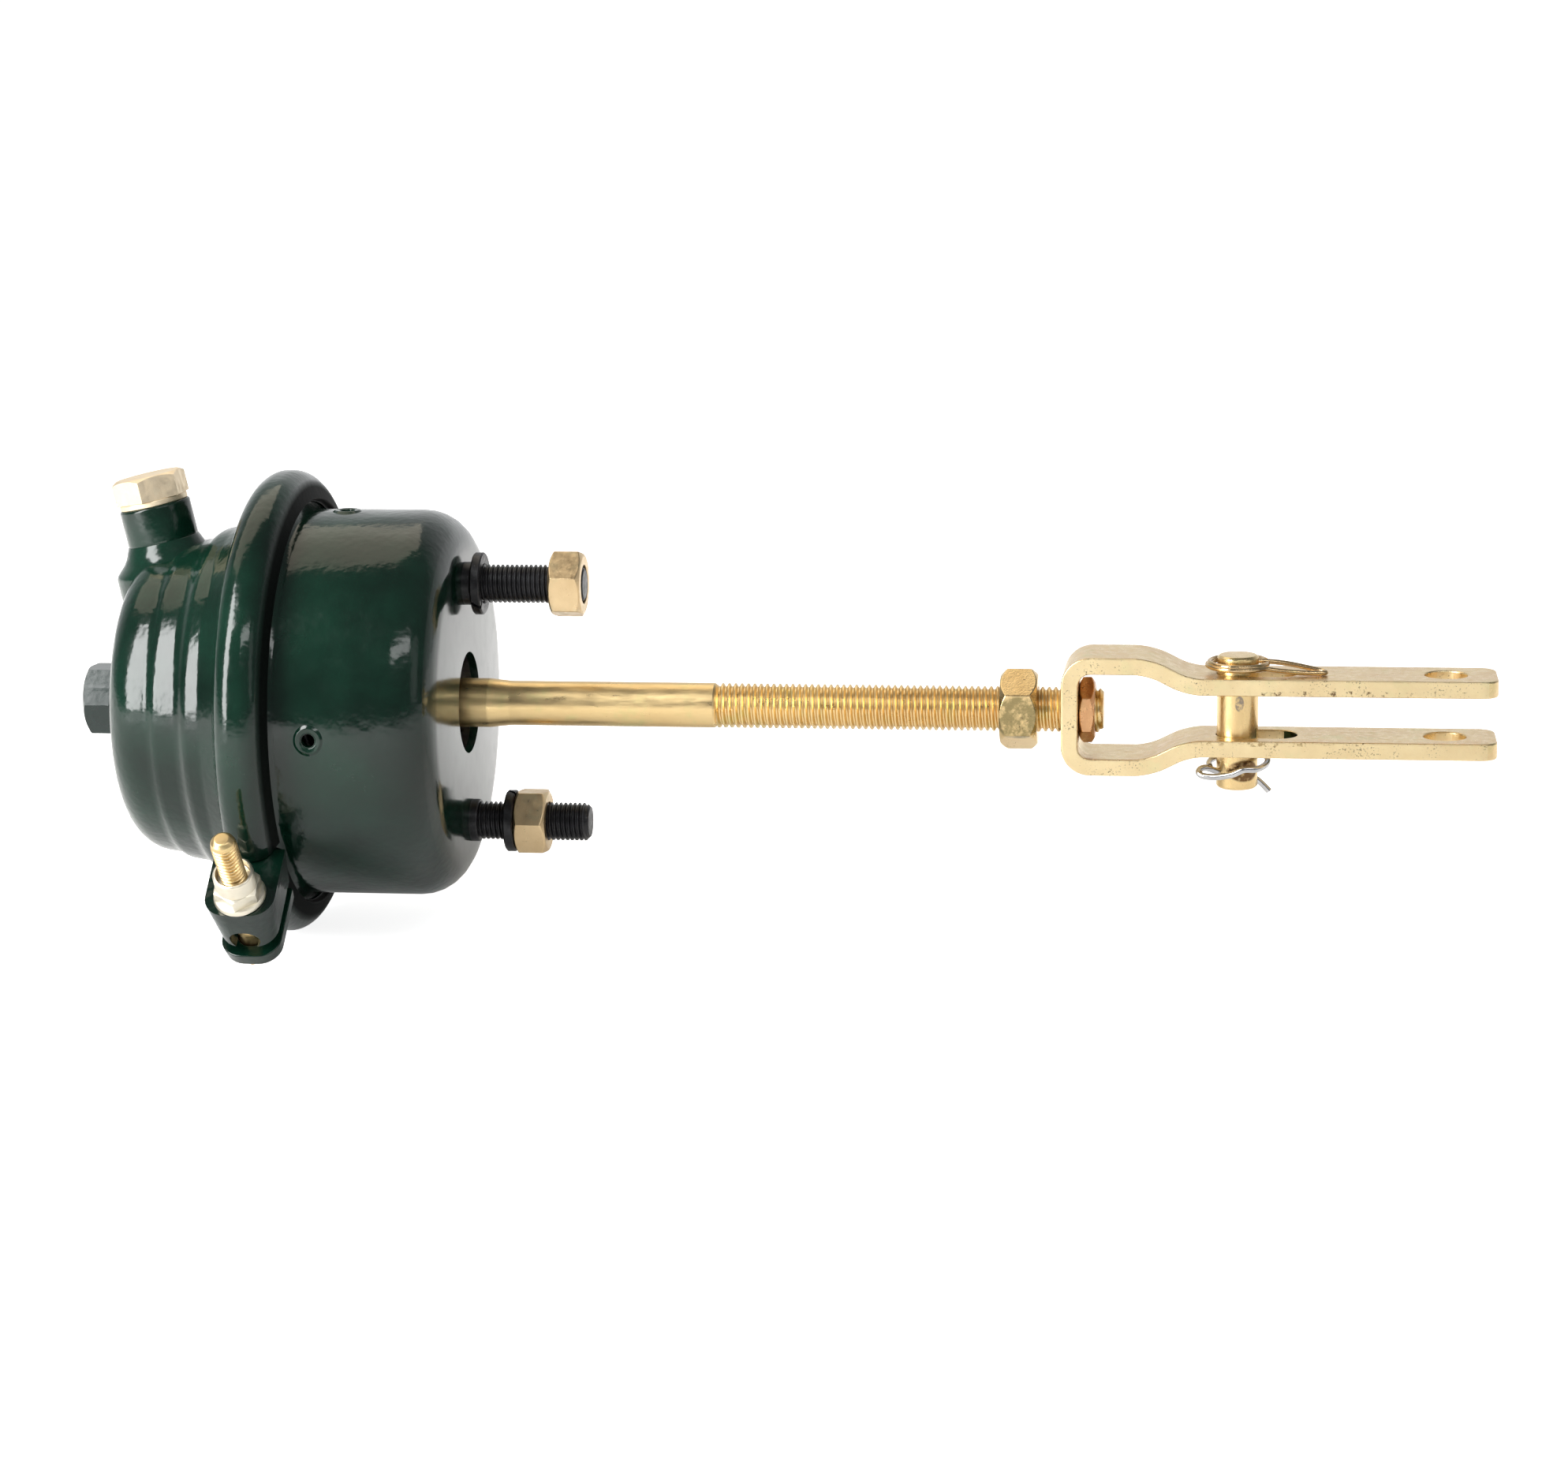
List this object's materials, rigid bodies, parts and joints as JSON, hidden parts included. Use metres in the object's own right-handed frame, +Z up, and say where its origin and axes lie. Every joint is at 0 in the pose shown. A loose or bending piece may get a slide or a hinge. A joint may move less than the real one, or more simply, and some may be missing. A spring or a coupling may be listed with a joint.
{
  "type": "air brake chamber",
  "caption": "Air brake chamber with a clamped two-part housing, two mounting studs, plugged air ports, a sprung push rod and a long yoke with a clevis pin and wire clips.",
  "frame": {"origin": "centre of the flat mounting face of the non-pressure housing, on the chamber's axis", "axes": "+X out along the push rod, +Z up through the upper mounting stud, -Y towards the clamp bolt's side"},
  "size_m": [0.4423, 0.1642, 0.149],
  "materials": {
    "housing_paint": "very dark green gloss paint",
    "plug_paint": "very dark green gloss paint",
    "yellow_zinc": "yellow zinc plated steel",
    "pale_zinc": "pale yellow zinc plated steel",
    "bright_zinc": "bright zinc plated steel",
    "black_steel": "black phosphate",
    "bright_wire": "bright spring wire",
    "plain_steel": "plain steel, hidden inside",
    "spring_steel": "oiled spring steel, hidden inside",
    "diaphragm_rubber": "fabric reinforced rubber"
  },
  "bodies": {
    "chamber": {"pressure_housing": "housing_paint", "non_pressure_housing": "housing_paint", "centre_port_boss": "housing_paint", "side_port_boss": "housing_paint", "centre_port_plug": "plug_paint", "side_port_plug": "pale_zinc", "clamp_band": "housing_paint", "clamp_bolt": "yellow_zinc", "clamp_nut": "bright_zinc", "diaphragm": "diaphragm_rubber", "return_spring": "spring_steel", "stud_plate": "plain_steel", "upper_mounting_stud": "black_steel", "lower_mounting_stud": "black_steel", "upper_stud_washer": "black_steel", "lower_stud_washer": "black_steel", "upper_stud_nut": "pale_zinc", "lower_stud_nut": "pale_zinc"},
    "push_rod": {"push_plate": "plain_steel", "push_rod": "yellow_zinc", "rod_jam_nut": "yellow_zinc", "yoke_lock_nut": "yellow_zinc", "clevis_yoke": "yellow_zinc"},
    "clevis_pin": {"clevis_pin": "yellow_zinc", "upper_pin_clip": "yellow_zinc", "lower_pin_clip": "bright_wire"}
  },
  "joints": [
    {"name": "push_rod_stroke", "type": "slide", "parent": "chamber", "child": "push_rod", "axis": [1, 0, 0], "range_m": [0, 0.057], "stiffness_N_per_m": 2200, "springref_m": -0.03, "deforming": ["return_spring", "diaphragm"]},
    {"name": "clevis_pin_slide", "type": "slide", "parent": "push_rod", "child": "clevis_pin", "axis": [1, 0, 0], "range_m": [0, 0.0116]}
  ]
}
